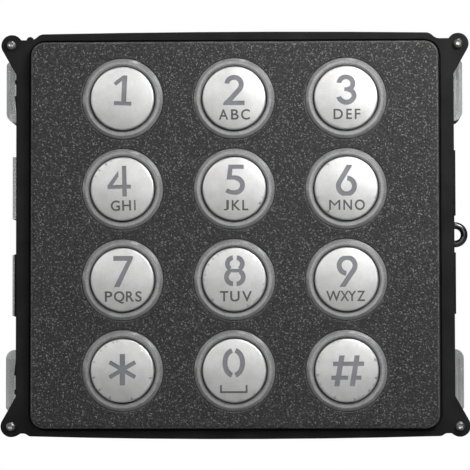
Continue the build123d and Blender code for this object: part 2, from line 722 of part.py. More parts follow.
def jumper_cap():
    """The little cap that bridges the first pair of pins."""
    x = JUMPER_X - 1.5 * PIN_PITCH
    front = BOARD_BACK + JUMPER_STRIP_TALL + 0.1
    back = front + JUMPER_CAP_TALL
    cap = block((x - 1.2, x + 1.2), (front, back), (JUMPER_Z - 2.5, JUMPER_Z + 2.5))
    half = PIN_SIDE / 2 + 0.04
    for z in (JUMPER_Z - PIN_PITCH / 2, JUMPER_Z + PIN_PITCH / 2):
        cap -= block((x - half, x + half), (front, back + 0.1), (z - half, z + half))
    return cap


# ---- rear cover ----
def rear_cover():
    """The clear cover: a tray over the tub, with four hollow corner wings that reach past the flange."""
    cover = slab(rounded(COVER_WIDTH, COVER_HEIGHT, COVER_CORNER), COVER_FRONT, COVER_BACK)
    half_width = COVER_WIDTH / 2
    for sx, sz in corner_places(1, 1):
        cover += slab(make_face(wing_edges(sx, sz, half_width - WING_OVERLAP)), WING_FRONT, WING_BACK)
    for heights in TONGUES_Z:
        cover += block((-TONGUE_X, -half_width + WING_OVERLAP), TONGUE_DEPTHS, heights)
    inner_face = COVER_BACK - COVER_REAR_WALL
    cover -= slab(cover_inside(), COVER_FRONT - 1, inner_face)
    for sx, sz in corner_places(1, 1):
        for near, far in ((half_width, WING_RIB_X), (WING_RIB_X + WING_RIB, wing_side(sx) - WING_WALL)):
            pocket = block(
                sorted((sx * near, sx * far)),
                (WING_FRONT - 1, WING_BACK - WING_WALL),
                sorted((sz * (WING_INNER_Z + WING_CORNER), sz * (WING_OUTER_Z - WING_WALL))),
            )
            cover -= pocket
    behind = COVER_BACK + CUT_PAST
    socket_window = (SOCKET_WIDTH + 2 * WINDOW_GAP, SOCKET_HEIGHT + 2 * WINDOW_GAP)
    for x in (-SOCKET_X, SOCKET_X):
        cover -= window(x, SOCKET_Z, socket_window, inner_face - CUT_PAST, behind)
    for x, z in corner_places(PILLAR_X, PILLAR_Z):
        cover += disc(COVER_BOSS_RADIUS, PILLAR_BACK + COVER_BOSS_GAP, inner_face, x, z)
        cover -= disc(SCREW_RADIUS + SCREW_PASS, PILLAR_BACK, behind, x, z)
        cover -= disc(SCREW_HEAD_RADIUS + WINDOW_GAP, COVER_SCREW_SEAT, behind, x, z)
    label_x = LABEL_HALF_WIDTH + WINDOW_GAP
    label_z = (LABEL_LOW_Z - WINDOW_GAP, LABEL_HIGH_Z + WINDOW_GAP)
    return cover - block((-label_x, label_x), (COVER_BACK - LABEL_POCKET, behind), label_z)


def cover_inside():
    width, height = COVER_WIDTH - 2 * COVER_WALL, COVER_HEIGHT - 2 * COVER_WALL
    return rounded(width, height, COVER_CORNER - COVER_WALL)


def wing_side(sx):
    return WING_RIGHT_X if sx > 0 else WING_LEFT_X


def wing_edges(sx, sz, x_in):
    """A wing's outline: large corner towards mid-height, small corner towards the ear."""
    x_out, z_in, z_out = wing_side(sx), WING_INNER_Z, WING_OUTER_Z
    corner, small = WING_CORNER, WING_SMALL_CORNER
    root = 0.5**0.5

    def p(x, z):
        return (sx * x, sz * z)

    return [
        Line(p(x_in, z_in), p(x_out - corner, z_in)),
        ThreePointArc(
            p(x_out - corner, z_in),
            p(x_out - corner + corner * root, z_in + corner - corner * root),
            p(x_out, z_in + corner),
        ),
        Line(p(x_out, z_in + corner), p(x_out, z_out - small)),
        ThreePointArc(
            p(x_out, z_out - small),
            p(x_out - small + small * root, z_out - small + small * root),
            p(x_out - small, z_out),
        ),
        Line(p(x_out - small, z_out), p(x_in, z_out)),
        Line(p(x_in, z_out), p(x_in, z_in)),
    ]


def cover_seal():
    ring = rounded(COVER_WIDTH, COVER_HEIGHT, COVER_CORNER) - cover_inside()
    return slab(ring, FLANGE_BACK, COVER_FRONT)


# ---- write every piece ----
for name, x, z in key_places():
    save(at_key(key_cap(name), x, z), "key_cap_" + name)
    save(at_key(key_core(name), x, z), "key_core_" + name)
    save(at_key(key_plug(), x, z), "key_plug_" + name)

save(front_plate(), "front_plate")
save(plate_gasket(), "plate_gasket")
save(light_guide(), "light_guide")
save(housing(), "housing")
save(tether_eyelet(), "tether_eyelet")
save(keymat(), "keymat")
save(circuit_board(), "circuit_board")
save(rear_cover(), "rear_cover")
save(cover_seal(), "cover_seal")

half_led_x, half_led_z = LED_WIDTH / 2, LED_HEIGHT / 2
led_depths = (BOARD_FRONT - LED_THICK, BOARD_FRONT)
save(group([block((x - half_led_x, x + half_led_x), led_depths, (z - half_led_z, z + half_led_z))
            for x, z in light_places()]), "leds")
save(on_board(0, CONTROLLER_Z, CONTROLLER_SIDE, CONTROLLER_SIDE, CONTROLLER_TALL), "controller_chip")
save(group([on_board(x, DRIVER_Z, DRIVER_WIDTH, DRIVER_HEIGHT, DRIVER_TALL) for x in (-DRIVER_X, DRIVER_X)]),
     "driver_chips")
save(on_board(0, CRYSTAL_Z, CRYSTAL_WIDTH, CRYSTAL_HEIGHT, CRYSTAL_TALL), "crystal")
capacitor_top = BOARD_BACK + CAPACITOR_TALL
save(group([disc(CAPACITOR_RADIUS, BOARD_BACK, capacitor_top, x, CAPACITOR_Z) for x in (-CAPACITOR_X, CAPACITOR_X)]),
     "capacitors")
save(disc(BUZZER_RADIUS, BOARD_BACK, BOARD_BACK + BUZZER_TALL, BUZZER_X, BUZZER_Z), "buzzer")
save(link_socket(-SOCKET_X), "link_socket_in")
save(link_socket(SOCKET_X), "link_socket_out")
save(jumper_pins(), "jumper_pins")
save(jumper_cap(), "jumper_cap")
save(screws(clamp_places(), BOARD_SCREW_TIP, BOARD_BACK), "board_screws")
save(screws(corner_places(PILLAR_X, PILLAR_Z), COVER_SCREW_TIP, COVER_SCREW_SEAT), "cover_screws")
save(corner_screws(), "corner_screws")
label_back = COVER_BACK - LABEL_POCKET + LABEL_THICK
save(block((-LABEL_HALF_WIDTH, LABEL_HALF_WIDTH), (label_back - LABEL_THICK, label_back), (LABEL_LOW_Z, LABEL_HIGH_Z)),
     "rating_label")
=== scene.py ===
import math
import random

import bmesh
import bpy
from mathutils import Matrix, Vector


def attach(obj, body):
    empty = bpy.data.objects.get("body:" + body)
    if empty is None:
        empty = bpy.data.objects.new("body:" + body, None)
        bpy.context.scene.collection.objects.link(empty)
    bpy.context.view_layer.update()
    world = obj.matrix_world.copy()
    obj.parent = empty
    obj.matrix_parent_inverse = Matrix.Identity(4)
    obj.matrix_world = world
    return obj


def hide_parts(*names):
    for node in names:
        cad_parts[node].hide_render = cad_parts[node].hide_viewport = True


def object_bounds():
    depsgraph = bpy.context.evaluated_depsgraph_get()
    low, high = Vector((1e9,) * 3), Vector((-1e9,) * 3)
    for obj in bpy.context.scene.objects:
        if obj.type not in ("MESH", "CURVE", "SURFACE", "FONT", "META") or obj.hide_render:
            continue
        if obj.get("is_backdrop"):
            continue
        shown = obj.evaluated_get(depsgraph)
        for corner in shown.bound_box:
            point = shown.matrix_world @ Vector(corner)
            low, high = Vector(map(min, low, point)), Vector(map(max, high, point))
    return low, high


# The looks of the keypad module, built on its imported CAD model.  Shapes are given in millimetres in the
# model's own frame: +X right, +Z up, the front faces -Y.

MM = 0.001
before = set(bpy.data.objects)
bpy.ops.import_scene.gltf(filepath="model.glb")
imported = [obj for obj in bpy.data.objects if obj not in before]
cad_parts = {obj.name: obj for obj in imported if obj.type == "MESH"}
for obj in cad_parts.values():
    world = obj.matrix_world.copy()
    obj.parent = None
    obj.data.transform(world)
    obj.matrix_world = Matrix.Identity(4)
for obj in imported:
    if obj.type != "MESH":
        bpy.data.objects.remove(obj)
cad_low, cad_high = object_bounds()

scene = bpy.context.scene
scene.view_settings.view_transform = "Standard"
scene.view_settings.look = "None"

# ---- places taken from the CAD ----
KEY_NAMES = [["1", "2", "3"], ["4", "5", "6"], ["7", "8", "9"], ["star", "0", "hash"]]
KEY_PITCH_X = 25.5
KEY_PITCH_Z = 20.7
CAP_RADIUS = 7.25
CAP_CROWN = -3.95
CAP_DROP = 0.5          # how far the dome falls back from its crown to its edge
COLLAR_FLAT_END = 8.55
SCREW_X = 51.2
SCREW_Z = 43.7
BOARD_BACK = 7.8
COVER_BACK = 18.0
CONTROLLER = (0, 11)    # the middles of the parts on the board, as (x, z)
CRYSTAL_Z = 22.5
DRIVER_X = 28
DRIVER_Z = -9
CAPACITOR_X = 8
CAPACITOR_Z = 32
BUZZER = (-30, 14)
SOCKET_X = 22
SOCKET_Z = -31
JUMPER = (30, 32)
PIN_PITCH = 2.54


def key_place(name):
    for row, names in enumerate(KEY_NAMES):
        if name in names:
            return (names.index(name) - 1) * KEY_PITCH_X, (1.5 - row) * KEY_PITCH_Z
    raise ValueError(name)


def corners(x, z):
    return [(sx * x, sz * z) for sx in (-1, 1) for sz in (-1, 1)]


# ---- materials ----
SOCKETS = {
    "base": "Base Color", "rough": "Roughness", "metal": "Metallic", "ior": "IOR",
    "clear": "Transmission Weight", "coat": "Coat Weight", "coat_rough": "Coat Roughness",
    "spec": "Specular IOR Level", "normal": "Normal",
    "scatter": "Subsurface Weight", "scatter_scale": "Subsurface Scale",
}


def grey(value, tint=(1.0, 1.0, 1.0)):
    return (value * tint[0], value * tint[1], value * tint[2], 1.0)


class Look:
    """A node material with short calls for its nodes.  Its patterns are in millimetres."""

    def __init__(self, name):
        self.material = bpy.data.materials.new(name)
        self.material.use_nodes = True
        self.tree = self.material.node_tree
        self.tree.nodes.clear()
        self.end = self.add("ShaderNodeOutputMaterial")
        self.shader = self.add("ShaderNodeBsdfPrincipled")
        self.join(self.shader.outputs["BSDF"], self.end.inputs["Surface"])
        place = self.add("ShaderNodeTexCoord").outputs["Object"]
        self.mm = self.stretch(place, (1 / MM, 1 / MM, 1 / MM))

    def add(self, kind, **settings):
        node = self.tree.nodes.new(kind)
        for key, value in settings.items():
            setattr(node, key, value)
        return node

    def join(self, value, socket):
        if isinstance(value, bpy.types.NodeSocket):
            self.tree.links.new(value, socket)
        else:
            socket.default_value = value

    def stretch(self, vector, factors):
        node = self.add("ShaderNodeVectorMath", operation="MULTIPLY")
        self.join(vector, node.inputs[0])
        self.join(factors, node.inputs[1])
        return node.outputs["Vector"]

    def noise(self, scale, detail=2.0, rough=0.5, vector=None):
        node = self.add("ShaderNodeTexNoise")
        self.join(vector or self.mm, node.inputs["Vector"])
        self.join(scale, node.inputs["Scale"])
        self.join(detail, node.inputs["Detail"])
        self.join(rough, node.inputs["Roughness"])
        return node.outputs["Fac"]

    def cells(self, scale):
        """A random colour in each cell."""
        node = self.add("ShaderNodeTexVoronoi")
        self.join(self.mm, node.inputs["Vector"])
        self.join(scale, node.inputs["Scale"])
        return node.outputs["Color"]

    def part(self, colour, index):
        node = self.add("ShaderNodeSeparateColor")
        self.join(colour, node.inputs[0])
        return node.outputs[index]

    def axes(self):
        node = self.add("ShaderNodeSeparateXYZ")
        self.join(self.mm, node.inputs[0])
        return node.outputs

    def ramp(self, value, *stops):
        node = self.add("ShaderNodeValToRGB")
        while len(node.color_ramp.elements) < len(stops):
            node.color_ramp.elements.new(0.5)
        for element, (place, colour) in zip(node.color_ramp.elements, stops):
            element.position = place
            element.color = colour if isinstance(colour, tuple) else grey(colour)
        self.join(value, node.inputs["Fac"])
        return node.outputs["Color"]

    def facing(self, axis):
        """How far the surface faces along an axis of the model, before any bump."""
        node = self.add("ShaderNodeSeparateXYZ")
        self.join(self.add("ShaderNodeTexCoord").outputs["Normal"], node.inputs[0])
        return node.outputs[axis]

    def sums(self, operation, first, second=0.0, third=0.0):
        node = self.add("ShaderNodeMath", operation=operation)
        for value, socket in zip((first, second, third), node.inputs):
            self.join(value, socket)
        return node.outputs[0]

    def span(self, value, low, high, out_low=0.0, out_high=1.0):
        node = self.add("ShaderNodeMapRange")
        for name, number in (("From Min", low), ("From Max", high), ("To Min", out_low), ("To Max", out_high)):
            self.join(number, node.inputs[name])
        self.join(value, node.inputs["Value"])
        return node.outputs[0]

    def blend(self, factor, first, second):
        node = self.add("ShaderNodeMix", data_type="RGBA")
        self.join(factor, node.inputs[0])
        self.join(first, node.inputs[6])
        self.join(second, node.inputs[7])
        return node.outputs[2]

    def bump(self, height, depth, normal=None):
        """A bump whose full height is depth, in millimetres."""
        node = self.add("ShaderNodeBump")
        self.join(depth * MM, node.inputs["Distance"])
        self.join(height, node.inputs["Height"])
        if normal:
            self.join(normal, node.inputs["Normal"])
        return node.outputs["Normal"]

    def set(self, **values):
        for key, value in values.items():
            self.join(value, self.shader.inputs[SOCKETS[key]])
        return self

    def lets_light_through(self, tint):
        """Shadow rays pass, so that lamps reach what is behind a clear wall."""
        passing = self.add("ShaderNodeBsdfTransparent")
        self.join(tint, passing.inputs["Color"])
        mixer = self.add("ShaderNodeMixShader")
        self.join(self.add("ShaderNodeLightPath").outputs["Is Shadow Ray"], mixer.inputs[0])
        self.join(self.shader.outputs["BSDF"], mixer.inputs[1])
        self.join(passing.outputs[0], mixer.inputs[2])
        self.join(mixer.outputs[0], self.end.inputs["Surface"])
        return self


def plate_paint():
    """Graphite structure paint: fine lumps with bright metal flecks, rubbed thin in places along its edge; that
    lighter bare-metal band is partly wear and partly a painted highlight line on the edge.
    """
    look = Look("graphite_structure_paint")
    lumps = look.noise(1.9, 4.0, 0.7)
    fine = look.noise(9.0, 2.0, 0.6)
    broad = look.noise(0.12, 2.0)
    fleck_colour = look.cells(4.2)
    fleck = look.span(look.part(fleck_colour, 0), 0.86, 0.95)
    tint = look.blend(look.part(fleck_colour, 1), grey(0.24, (1.0, 0.98, 0.92)), grey(0.2, (0.94, 0.97, 1.0)))
    ground = look.ramp(lumps, (0.46, 0.001), (0.62, 0.028))
    ground = look.blend(look.span(broad, 0.3, 0.7, 0.0, 0.2), ground, grey(0.012))
    facing = look.facing(1)
    # the rounded front edges get lighter bare metal in noisy patches: partly wear, partly a painted highlight
    # line along the edge
    edge = look.sums("MULTIPLY", look.span(facing, -0.95, -0.8), look.span(facing, -0.25, -0.4))
    wear_and_edge_highlight = look.sums("MULTIPLY", edge, look.span(look.noise(2.8, 3.0, 0.8), 0.42, 0.62, 0.0, 1.0))
    normal = look.bump(lumps, 0.3)
    normal = look.bump(fine, 0.05, normal)
    metal_share = look.sums("MAXIMUM", look.sums("MULTIPLY", fleck, 0.7), look.sums("MULTIPLY", wear_and_edge_highlight, 0.6))
    return look.set(
        base=look.blend(wear_and_edge_highlight, look.blend(fleck, ground, tint), grey(0.3, (1.0, 0.99, 0.98))),
        metal=metal_share,
        rough=look.span(fine, 0.3, 0.7, 0.38, 0.54),
        normal=normal,
        spec=0.6,
    )


def cap_metal():
    """Satin metal with a fine blasted grain."""
    look = Look("satin_key_metal")
    grain = look.noise(3.2, 4.0, 0.7)
    broad = look.noise(0.35, 3.0)
    shade = look.blend(look.span(broad, 0.3, 0.7), grey(0.71, (1.0, 0.995, 0.975)), grey(0.82))
    return look.set(
        base=look.blend(look.span(grain, 0.35, 0.65, 0.0, 0.35), shade, grey(0.6)),
        metal=1.0,
        rough=look.span(grain, 0.3, 0.7, 0.42, 0.54),
        normal=look.bump(grain, 0.02),
    )


def key_fill():
    look = Look("grey_key_moulding")
    darker = grey(0.2, (0.96, 0.97, 1.08))
    lighter = grey(0.25, (0.97, 0.98, 1.06))
    grain = look.noise(4.0, 2.0)
    cloud = look.noise(0.35, 2.0)
    return look.set(
        base=look.blend(look.span(cloud, 0.3, 0.7), darker, lighter),
        rough=look.span(grain, 0.3, 0.7, 0.38, 0.52),
        normal=look.bump(grain, 0.01),
    )


def key_print():
    look = Look("dark_key_print")
    grain = look.noise(6.0, 2.0)
    return look.set(
        base=look.ramp(grain, (0.3, 0.085), (0.7, 0.12)),
        rough=look.span(grain, 0.3, 0.7, 0.42, 0.6),
        normal=look.bump(grain, 0.004),
    )


TURNING_PITCH = 0.22     # of the fine turning rings on the collars


def guide_plastic():
    """Milky clear plastic.  Fine turning rings run round every key on the collar's outer bevel."""
    look = Look("milky_light_guide")
    x, _, z = look.axes()
    half_x, half_z = KEY_PITCH_X / 2, KEY_PITCH_Z / 2
    x = look.sums("WRAP", x, half_x, -half_x)
    z = look.sums("WRAP", look.sums("ADD", z, -half_z), half_z, -half_z)
    radius = look.sums("SQRT", look.sums("MULTIPLY_ADD", x, x, look.sums("MULTIPLY", z, z)))
    rings = look.sums("SINE", look.sums("MULTIPLY", radius, 2 * math.pi / TURNING_PITCH))
    ringed = look.span(radius, COLLAR_FLAT_END - 0.25, COLLAR_FLAT_END + 0.1)
    height = look.sums("MULTIPLY", look.span(rings, -1.0, 1.0), ringed)
    cloud = look.noise(0.5, 2.0)
    shade = look.blend(look.span(cloud, 0.3, 0.7), grey(0.24, (1.0, 1.0, 1.01)), grey(0.31, (1.0, 1.0, 1.02)))
    shade = look.blend(look.sums("MULTIPLY", height, 0.4), shade, grey(0.1))
    return look.set(
        base=shade,
        ior=1.49,
        rough=look.span(look.noise(3.0), 0.3, 0.7, 0.24, 0.34),
        spec=0.8,
        coat=0.6,
        coat_rough=0.14,
        normal=look.bump(height, 0.03),
    )


def moulded(name, colour, rough, grain_scale, depth, spread=0.25, coat=0.0, tint=(1.0, 1.0, 1.0), spec=0.5):
    """Moulded plastic or rubber with its fine spark-eroded grain and slow colour drift."""
    look = Look(name)
    darker = grey(colour * (1 - spread), tint)
    lighter = grey(colour * (1 + spread), tint)
    grain = look.noise(grain_scale, 3.0, 0.6)
    drift = look.noise(0.15, 2.0)
    return look.set(
        base=look.blend(look.span(drift, 0.3, 0.7), darker, lighter),
        rough=look.span(grain, 0.3, 0.7, rough - 0.07, rough + 0.07),
        normal=look.bump(grain, depth),
        spec=spec,
        coat=coat,
        coat_rough=0.08,
    )


def clear_cover():
    look = Look("clear_polycarbonate")
    flow = look.noise(1.0, 2.0, 0.5, look.stretch(look.mm, (1.6, 0.5, 0.12)))
    haze = look.noise(0.3, 2.0)
    return look.set(
        base=look.blend(look.span(haze, 0.3, 0.7), grey(0.9, (0.98, 1.0, 1.0)), grey(0.96, (0.99, 1.0, 1.0))),
        clear=1.0,
        ior=1.58,
        rough=look.span(haze, 0.3, 0.7, 0.03, 0.09),
        normal=look.bump(flow, 0.03),
    ).lets_light_through(grey(0.8))


WEAVE_PITCH = 0.9


def solder_mask():
    """Green board: mask over a copper pour, with the weave just showing."""
    look = Look("green_solder_mask")
    weave_x, _, weave_z = look.axes()
    warp = look.sums("SINE", look.sums("MULTIPLY", weave_x, 2 * math.pi / WEAVE_PITCH))
    weft = look.sums("SINE", look.sums("MULTIPLY", weave_z, 2 * math.pi / WEAVE_PITCH))
    weave = look.span(look.sums("MULTIPLY", warp, weft), -1.0, 1.0)
    cloud = look.noise(0.1, 3.0)
    colour = look.blend(look.span(cloud, 0.35, 0.65), (0.008, 0.085, 0.03, 1), (0.012, 0.12, 0.045, 1))
    colour = look.blend(look.sums("MULTIPLY", weave, 0.25), colour, (0.02, 0.15, 0.06, 1))
    return look.set(base=colour, rough=0.32, coat=0.5, coat_rough=0.15, normal=look.bump(weave, 0.012))


def metal(name, colour, rough, tint=(1.0, 1.0, 1.0), depth=0.008):
    look = Look(name)
    grain = look.noise(5.0, 3.0, 0.6)
    stain = look.noise(0.8, 2.0)
    return look.set(
        base=look.blend(look.span(stain, 0.3, 0.7), grey(colour * 0.82, tint), grey(colour, tint)),
        metal=1.0,
        rough=look.span(grain, 0.3, 0.7, rough - 0.08, rough + 0.08),
        normal=look.bump(grain, depth),
    )


def chip_epoxy():
    look = Look("chip_epoxy")
    grain = look.noise(9.0, 3.0, 0.6)
    return look.set(
        base=look.ramp(grain, (0.3, 0.012), (0.7, 0.024)),
        rough=look.span(grain, 0.3, 0.7, 0.45, 0.62),
        normal=look.bump(grain, 0.012),
    )


def led_body():
    look = Look("led_lens")
    cloud = look.noise(1.2, 2.0)
    return look.set(
        base=look.ramp(cloud, (0.3, (0.75, 0.7, 0.45, 1)), (0.7, (0.85, 0.82, 0.66, 1))),
        rough=look.span(cloud, 0.3, 0.7, 0.15, 0.3),
        coat=0.6,
        coat_rough=0.1,
        scatter=0.2,
        scatter_scale=0.0005,
    )


def capacitor_sleeve():
    """Black shrink sleeve with the pale stripe on its minus side."""
    look = Look("capacitor_sleeve")
    x, _, _ = look.axes()
    side = look.sums("ABSOLUTE", look.sums("SUBTRACT", look.sums("ABSOLUTE", x), CAPACITOR_X))
    stripe = look.span(side, 2.75, 2.8)
    wrinkle = look.noise(1.4, 3.0, 0.6, look.stretch(look.mm, (1.0, 0.3, 1.0)))
    return look.set(
        base=look.blend(stripe, grey(0.02, (0.9, 0.95, 1.2)), grey(0.55)),
        rough=look.span(wrinkle, 0.3, 0.7, 0.25, 0.4),
        normal=look.bump(wrinkle, 0.05),
    )


def label_paper():
    look = Look("label_film")
    fibre = look.noise(5.0, 3.0, 0.7, look.stretch(look.mm, (0.4, 1.0, 1.6)))
    return look.set(
        base=look.ramp(fibre, (0.3, (0.68, 0.68, 0.66, 1)), (0.7, (0.78, 0.78, 0.77, 1))),
        rough=look.span(fibre, 0.3, 0.7, 0.4, 0.55),
        normal=look.bump(fibre, 0.008),
    )


LOOKS = {
    "plate_paint": plate_paint(),
    "black_foam": moulded("gasket_foam", 0.014, 0.85, 2.5, 0.12),
    "clear_guide": guide_plastic(),
    "black_plastic": moulded("black_satin_plastic", 0.016, 0.55, 4.5, 0.014, tint=(1.0, 1.0, 1.03), spec=0.08),
    "gloss_black": moulded("glossy_black_plastic", 0.006, 0.16, 2.0, 0.004, coat=1.0),
    "silicone_grey": moulded("grey_silicone_mat", 0.22, 0.62, 3.0, 0.01, 0.08, tint=(1.0, 1.0, 1.04)),
    "board_green": solder_mask(),
    "clear_cover": clear_cover(),
    "led_white": led_body(),
    "chip_black": chip_epoxy(),
    "metal_can": metal("drawn_metal_can", 0.62, 0.3, (1.0, 0.99, 0.96)),
    "capacitor_sleeve": capacitor_sleeve(),
    "socket_black": moulded("black_socket_plastic", 0.016, 0.5, 3.5, 0.014),
    "jumper_blue": moulded("blue_jumper_plastic", 0.3, 0.4, 3.5, 0.01, 0.1, tint=(0.1, 0.3, 1.0)),
    "screw_zinc": metal("zinc_plated_steel", 0.42, 0.42, (1.0, 0.99, 0.96), 0.012),
    "label_white": label_paper(),
    "key_metal": cap_metal(),
    "key_fill": key_fill(),
    "carbon_silicone": moulded("carbon_silicone", 0.02, 0.7, 4.0, 0.01),
}
PRINT = key_print()
TIN = metal("tinned_solder", 0.7, 0.26, (1.0, 0.99, 0.97))
GOLD = metal("gold_flash", 0.75, 0.28, (1.0, 0.76, 0.36))
TRACE = moulded("mask_over_copper", 0.17, 0.3, 3.0, 0.006, 0.12, coat=0.5, tint=(0.14, 1.0, 0.36))
CERAMIC = moulded("chip_part_ceramic", 0.06, 0.4, 5.0, 0.006, 0.3, tint=(1.0, 0.82, 0.6))
SILK = moulded("white_board_ink", 0.6, 0.55, 5.0, 0.006, 0.06)
INK = moulded("grey_label_ink", 0.16, 0.5, 5.0, 0.003, 0.1)

NODE_SLOTS = {
    "front_plate": "plate_paint", "plate_gasket": "black_foam", "light_guide": "clear_guide",
    "housing": "black_plastic", "tether_eyelet": "gloss_black", "keymat": "silicone_grey",
    "circuit_board": "board_green", "rear_cover": "clear_cover", "cover_seal": "black_foam",
    "leds": "led_white",
    "controller_chip": "chip_black", "driver_chips": "chip_black", "crystal": "metal_can",
    "capacitors": "capacitor_sleeve", "buzzer": "socket_black", "link_socket_in": "socket_black",
    "link_socket_out": "socket_black", "jumper_pins": "socket_black", "jumper_cap": "jumper_blue",
    "board_screws": "screw_zinc", "cover_screws": "screw_zinc", "corner_screws": "screw_zinc",
    "rating_label": "label_white",
}


def slot_of(node):
    for start, slot in (("key_cap_", "key_metal"), ("key_core_", "key_fill"), ("key_plug_", "carbon_silicone")):
        if node.startswith(start):
            return slot
    return NODE_SLOTS[node]


def paint(obj, look):
    if obj.material_slots:
        for slot in obj.material_slots:
            slot.material = look.material
    else:
        obj.data.materials.append(look.material)


for node_name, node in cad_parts.items():
    paint(node, LOOKS[slot_of(node_name)])


# ---- building pieces ----
SMOOTH_ANGLE = math.radians(38)     # sharper edges than this stay crisp on a smooth piece


def circle(x, z, radius, y, steps):
    """Points round the Y axis through x, z at depth y."""
    angles = [2 * math.pi * i / steps for i in range(steps)]
    return [(x + radius * math.cos(a), y, z + radius * math.sin(a)) for a in angles]


class Shape:
    """Points and faces of one piece, in millimetres."""

    def __init__(self):
        self.points = []
        self.faces = []

    def add(self, points, faces):
        start = len(self.points)
        self.points += points
        self.faces += [tuple(start + i for i in face) for face in faces]

    def block(self, x, y, z):
        """A box from its three ranges."""
        points = [(a, b, c) for a in x for b in y for c in z]
        self.add(points, [(0, 1, 3, 2), (4, 6, 7, 5), (0, 4, 5, 1), (2, 3, 7, 6), (0, 2, 6, 4), (1, 5, 7, 3)])

    def grid(self, rows, close_ends=False):
        """Skin a list of equal rings of points."""
        count = len(rows[0])
        faces = []
        for i in range(len(rows) - 1):
            for j in range(count):
                k = (j + 1) % count
                faces.append((i * count + j, i * count + k, (i + 1) * count + k, (i + 1) * count + j))
        if close_ends:
            faces.append(tuple(reversed(range(count))))
            faces.append(tuple((len(rows) - 1) * count + j for j in range(count)))
        self.add([point for row in rows for point in row], faces)

    def ring_of(self, profile, x, z, steps):
        """Turn a closed (radius, depth) profile about the Y axis through x, z."""
        rows = []
        for i in range(steps):
            angle = 2 * math.pi * i / steps
            rows.append([(x + r * math.cos(angle), y, z + r * math.sin(angle)) for r, y in profile])
        rows.append(rows[0])
        self.grid(rows)

    def button(self, profile, x, z, steps):
        """Turn a (radius, depth) profile about the Y axis through x, z and close both ends."""
        self.grid([circle(x, z, r, y, steps) for r, y in profile], close_ends=True)

    def flat_ring(self, inner, outer, depths, x, z, steps):
        """A ring of square section between two depths."""
        near, far = depths
        self.ring_of([(inner, near), (inner, far), (outer, far), (outer, near)], x, z, steps)

    def ribbon(self, path, width, y):
        """A flat strip along a path of (x, z) points, between two depths."""
        rows = []
        for i, (px, pz) in enumerate(path):
            before = Vector(path[max(i - 1, 0)])
            after = Vector(path[min(i + 1, len(path) - 1)])
            here = Vector((px, pz))
            first = (here - before).normalized() if i > 0 else (after - here).normalized()
            last = (after - here).normalized() if i < len(path) - 1 else first
            along = (first + last).normalized()
            reach = width / 2 / max(0.3, along.dot(first))
            sx, sz = -along.y * reach, along.x * reach
            rows.append([(px + sx, y[0], pz + sz), (px - sx, y[0], pz - sz), (px - sx, y[1], pz - sz),
                         (px + sx, y[1], pz + sz)])
        self.grid(rows, close_ends=True)

    def leg(self, x, z, outward, path, width, thick):
        """A bent metal strip that leaves x, z in the outward direction; path gives (reach, depth) points."""
        ox, oz = outward
        rows = []
        for i, (reach, depth) in enumerate(path):
            a = Vector(path[max(i - 1, 0)])
            b = Vector(path[min(i + 1, len(path) - 1)])
            along = (b - a).normalized()
            nr, nd = -along.y * thick / 2, along.x * thick / 2
            row = []
            for side, face in ((-1, -1), (1, -1), (1, 1), (-1, 1)):
                r, d = reach + face * nr, depth + face * nd
                row.append((x + ox * r - oz * side * width / 2, d, z + oz * r + ox * side * width / 2))
            rows.append(row)
        self.grid(rows, close_ends=True)

    def piece(self, name, look, slot, body="module", smooth=False, soften=0.0, replaces=()):
        """Make the piece, seat it on its CAD body and give it its finish."""
        mesh = bpy.data.meshes.new(name)
        mesh.from_pydata([(x * MM, y * MM, z * MM) for x, y, z in self.points], [], self.faces)
        work = bmesh.new()
        work.from_mesh(mesh)
        bmesh.ops.remove_doubles(work, verts=work.verts, dist=1e-7)
        bmesh.ops.recalc_face_normals(work, faces=work.faces)
        for face in work.faces:
            face.smooth = smooth
        work.to_mesh(mesh)
        work.free()
        obj = bpy.data.objects.new(name, mesh)
        scene.collection.objects.link(obj)
        if smooth:
            edges = obj.modifiers.new("edges", "EDGE_SPLIT")
            edges.split_angle = SMOOTH_ANGLE
        if soften:
            bevel = obj.modifiers.new("soften", "BEVEL")
            bevel.width = soften * MM
            bevel.segments = 2
            bevel.limit_method = "ANGLE"
        paint(obj, look)
        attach(obj, body)
        if replaces:
            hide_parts(*replaces)
        return obj


# ---- letters printed on the caps ----
PRINT_TOP = -2.65
PRINT_FOOT = -5.0
PRINT_LIFT = 0.03       # how far the ink stands off the dome
PRINT_SINK = 0.05
PRINT_STEP = 0.5        # longest edge, so that the ink follows the dome
PRINT_PASSES = 4
PRINT_WEIGHT = 0.016    # makes the built-in font's strokes a little bolder
# from where to where each letter runs across its key
LETTERS = {
    "2": {"A": (-3.47, -1.32), "B": (-0.68, 1.09), "C": (1.6, 3.62)},
    "3": {"D": (-2.86, -0.71), "E": (0.05, 1.32), "F": (1.97, 3.24)},
    "4": {"G": (-2.7, -0.6), "H": (-0.1, 1.9), "I": (2.63, 2.96)},
    "5": {"J": (-2.4, -1.2), "K": (-0.56, 1.47), "L": (1.85, 3.2)},
    "6": {"M": (-3.92, -1.4), "N": (-0.7, 1.27), "O": (1.9, 4.2)},
    "7": {"P": (-3.95, -2.25), "Q": (-1.87, 0.53), "R": (0.86, 2.7), "S": (3.0, 4.45)},
    "8": {"T": (-3.27, -1.37), "U": (-0.94, 1.2), "V": (1.72, 4.0)},
    "9": {"W": (-4.68, -1.4), "X": (-1.47, 0.5), "Y": (0.25, 2.15), "Z": (2.33, 4.18)},
}
PRINT_TURN = {"4": 1.4}     # degrees
# the space sign's two posts and foot, as ranges across and up
SPACE_SIGN = [((-3.27, -2.87), (-4.64, -3.24)), ((2.54, 2.94), (-4.64, -3.24)), ((-3.27, 2.94), (-5.06, -4.64))]


